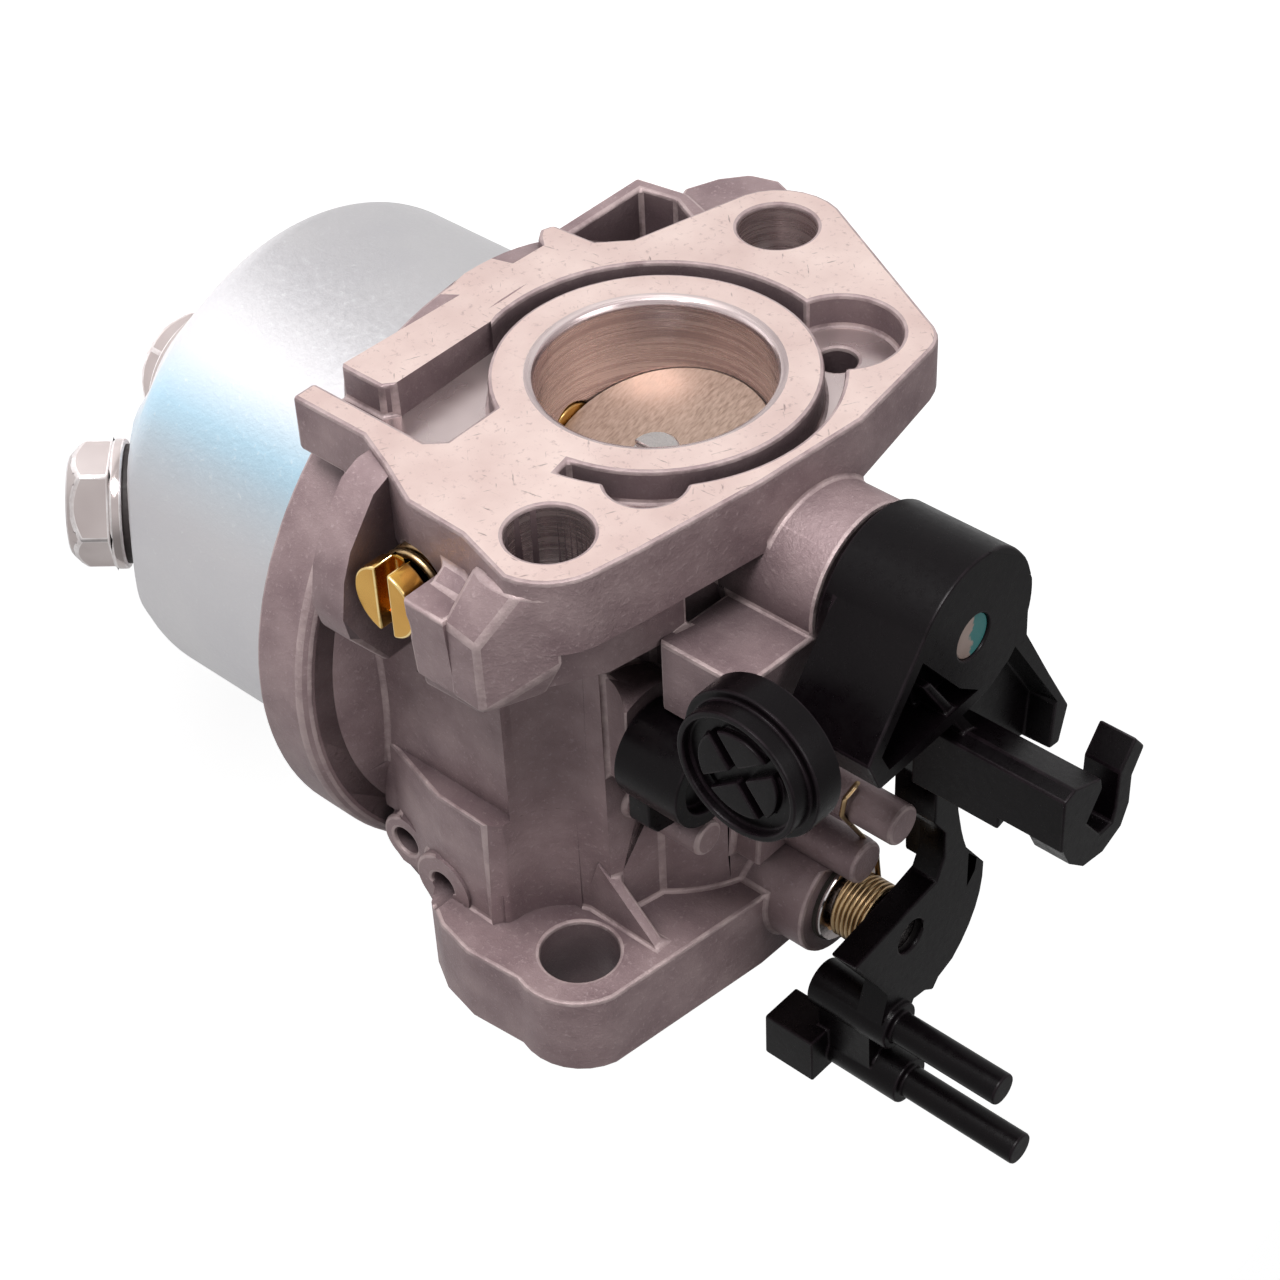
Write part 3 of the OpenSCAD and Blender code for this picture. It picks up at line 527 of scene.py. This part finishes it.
spring_wire = finish("spring_wire", tone(150, 124, 92), tone(196, 168, 128), grain=1.4, metallic=1.0,
                     rough=(0.24, 0.4), bump=0.06)
low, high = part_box("mixture_screw_spring")
middle = (low + high) / 2
coil = wound_spring("mixture_spring_wire", Vector((low.x + 0.00045, middle.y, middle.z)), Vector((1, 0, 0)),
                    mean=0.0027, wire=0.00034, length=high.x - low.x + 0.0005, turns=6)
coil.data.materials.append(spring_wire)
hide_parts("mixture_screw_spring")
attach(coil, "carburetor")

# ---------------------------------------------------------------------------
# Shafts and plates of the throttle and the choke, with their screws, washer and seals.
# The throttle's shaft is a turned brass rod, and its end is dabbed with teal paint that seals the
# setting. The choke's is steel. The plates are stamped and brushed, and screws hold them.
shaft_end, tree, shader = blank("shaft_end_with_paint")
surface = use(tree, grain_group, Scale=1.0)
bare = two_tone(tree, surface.outputs["Patches"], tone(168, 142, 130), tone(196, 176, 168))
# The dab covers one half of the end, up to a ragged line
where = in_object(tree)
place = put(tree, "ShaderNodeSeparateXYZ", Vector=where)
ragged = ranged(tree, noise(tree, where, 900.0, 3.0), 0.0, 1.0, -0.0012, 0.0012)
dab = ranged(tree, arithmetic(tree, "ADD", place.outputs["X"], ragged), 0.0001, -0.0002, 0.0, 0.95)
dress(tree, shader, mixed(tree, dab, bare, tone(4, 112, 112)), surface.outputs["Specks"], (0.3, 0.45))
tree.links.new(ranged(tree, dab, 0.0, 1.0, 0.9, 0.0), shader.inputs["Metallic"])
shaft = solid_copy("throttle_shaft", "throttle_spindle", width=0.00015)
shaft.data.materials.append(plain_brass)
shaft.data.materials.append(shaft_end)
low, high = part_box("throttle_shaft")
end_slot = 1
for face in shaft.data.polygons:
    if face.center.z > high.z - 0.0006:
        face.material_index = end_slot
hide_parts("throttle_shaft")
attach(shaft, "throttle")

brushed, tree, shader = blank("brushed_plate", Metallic=0.8)
along = put(tree, "ShaderNodeMapping", Vector=in_object(tree), Rotation=(0.0, 0.6, 0.0),
            Scale=(0.04, 1.0, 1.0))
strokes = noise(tree, along.outputs["Vector"], 5200.0, 3.0)
dress(tree, shader, two_tone(tree, strokes, tone(146, 124, 110), tone(180, 158, 144)), strokes, (0.4, 0.58))
raised(tree, shader, strokes, 0.15, 0.00005)
for node, name, material, body, slot in (
        ("throttle_plate", "throttle_disc", brushed, "throttle", "bright_steel"),
        ("throttle_plate_screw", "throttle_disc_screw", steel, "throttle", "bright_steel"),
        ("choke_plate", "choke_disc", brushed, "choke", "bright_steel"),
        ("choke_plate_screws", "choke_disc_screws", steel, "choke", "bright_steel"),
        ("choke_shaft", "choke_spindle", steel, "choke", "bright_steel"),
        ("choke_spring_washer", "choke_washer", bright_plate, "carburetor", "plated_steel")):
    part = solid_copy(node, name, width=0.0001, segments=1)
    part.data.materials.append(material)
    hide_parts(node)
    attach(part, body)

felt = finish("oiled_felt", tone(40, 36, 32), tone(62, 56, 50), grain=2.2, rough=(0.85, 0.95), bump=0.6)
for node in ("throttle_shaft_seal", "choke_shaft_seal"):
    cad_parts[node].material_slots[0].material = felt

# ---------------------------------------------------------------------------
# Choke spring.
# Closely wound fine wire round the choke shaft, between its washer and the lever, which returns
# the choke to open.
low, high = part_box("choke_spring")
middle = (low + high) / 2
coil_r, wire_r, inset = 0.0029, 0.00025, 0.00026
coil = wound_spring("choke_spring_wire", Vector((middle.x, middle.y, low.z + inset)), Vector((0, 0, 1)),
                    mean=coil_r, wire=wire_r, length=high.z - low.z - 2 * inset, turns=7)
coil.data.materials.append(spring_wire)
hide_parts("choke_spring")
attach(coil, "carburetor")
# The end of the wire runs off the coil and is bent round the post that the lever stops on
tip = Vector((-coil_r, middle.y, 0.0213))
bends = [tip] + [Vector(place) for place in (
    (-0.0024, 0.0435, 0.0213), (-0.0004, 0.0393, 0.0213), (0.0027, 0.0343, 0.0214),
    (0.0024, 0.0325, 0.0215), (0.0009, 0.0318, 0.0216))]
leg = bmesh.new()
bmesh.ops.create_circle(leg, cap_ends=True, radius=wire_r, segments=8,
                        matrix=Matrix.Translation(tip) @ Matrix.Rotation(math.pi / 2, 4, "X"))
wire_end = leg.faces[:]
for here, there in zip(bends, bends[1:]):
    pulled = bmesh.ops.extrude_face_region(leg, geom=wire_end)["geom"]
    if here is not tip:
        bmesh.ops.delete(leg, geom=wire_end, context="FACES_ONLY")
    wire_end = [f for f in pulled if isinstance(f, bmesh.types.BMFace)]
    bmesh.ops.translate(leg, verts=list({v for f in wire_end for v in f.verts}), vec=there - here)
bmesh.ops.recalc_face_normals(leg, faces=leg.faces)
bmesh.ops.subdivide_edges(leg, edges=[e for e in leg.edges if e.calc_length() > 0.001], cuts=3)
leg = placed(leg, "choke_spring_end", 60.0)
leg.data.materials.append(spring_wire)
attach(leg, "carburetor")

# ---------------------------------------------------------------------------
# Floor, camera and light.
# The part stands on its bowl bolt over a plain pale floor. A broad soft lamp stands in front of
# the engine flange, with a weaker one above the levers.
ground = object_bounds()[0][2] - 0.0005
mesh = bmesh.new()
bmesh.ops.create_grid(mesh, x_segments=2, y_segments=2, size=0.45,
                      matrix=Matrix.Translation((0, 0, ground)))
floor = placed(mesh, "floor")
paper, tree, shader = blank("pale_paper", Base_Color=(0.72, 0.72, 0.72, 1.0), Roughness=0.9,
                            Specular_IOR_Level=0.0, Emission_Color=(1.0, 1.0, 1.0, 1.0))
# Metal sees a painted bright patch of light on the paper in front of the bowl, which gives the bowl a
# painted highlight, and dimmer paper elsewhere
patch_place = put(tree, "ShaderNodeMapping", Vector=in_object(tree), Location=(0.031, -0.023, ground),
          Rotation=(0.0, 0.0, -0.98), Scale=(0.09, 0.031, 1.0))
patch_place.vector_type = "TEXTURE"
painted_patch = put(tree, "ShaderNodeTexGradient", Vector=patch_place.outputs["Vector"])
painted_patch.gradient_type = "SPHERICAL"
path = put(tree, "ShaderNodeLightPath").outputs
mirrored = arithmetic(tree, "MULTIPLY", path["Is Glossy Ray"],
                      ranged(tree, painted_patch.outputs["Fac"], 0.0, 0.7, 0.36, 1.15))
glow = arithmetic(tree, "MULTIPLY_ADD", path["Is Camera Ray"], 0.79, mirrored)
tree.links.new(glow, shader.inputs["Emission Strength"])
floor.data.materials.append(paper)

world = bpy.data.worlds.new("studio")
scene.world = world
world.use_nodes = True
tree = world.node_tree
sky = tree.nodes["Background"]
sky.inputs["Color"].default_value = (1.0, 1.0, 1.0, 1.0)
# Metal sees the white side of the studio in front of the part, and a dimmer one behind it
around = put(tree, "ShaderNodeSeparateXYZ", Vector=put(tree, "ShaderNodeTexCoord").outputs["Generated"])
path = put(tree, "ShaderNodeLightPath").outputs
mirrored = arithmetic(tree, "MULTIPLY",
                      arithmetic(tree, "MAXIMUM", path["Is Glossy Ray"], path["Is Transmission Ray"]),
                      ranged(tree, around.outputs["Y"], -0.4, 0.4, 0.9, 0.2))
clear = arithmetic(tree, "MAXIMUM", path["Is Camera Ray"], mirrored)
tree.links.new(ranged(tree, clear, 0.0, 1.0, 0.2, 1.0), sky.inputs["Strength"])

centre = Vector((0.0, 0.027, -0.01))
for name, way, distance, size, power in (("front_softbox", (0.38, -1.0, 0.14), 0.55, 0.24, 2.8),
                                         ("top_softbox", (-0.1, -0.5, 1.0), 0.7, 0.4, 1.3)):
    lamp = bpy.data.lights.new(name, "AREA")
    lamp.shape = "DISK"
    lamp.size = size
    lamp.energy = power
    holder = bpy.data.objects.new(name, lamp)
    scene.collection.objects.link(holder)
    holder.location = centre + Vector(way).normalized() * distance
    holder.rotation_euler = (centre - holder.location).to_track_quat("-Z", "Y").to_euler()

camera = bpy.data.objects.new("camera", bpy.data.cameras.new("camera"))
scene.collection.objects.link(camera)
camera.location = (0.1355, -0.1331, 0.1253)
camera.rotation_euler = [math.radians(v) for v in (-38.88, -48.33, 176.83)]
camera.data.lens = 80.3
camera.data.sensor_width = 36.0
camera.data.clip_start = 0.01
scene.camera = camera
scene.view_settings.view_transform = "Standard"
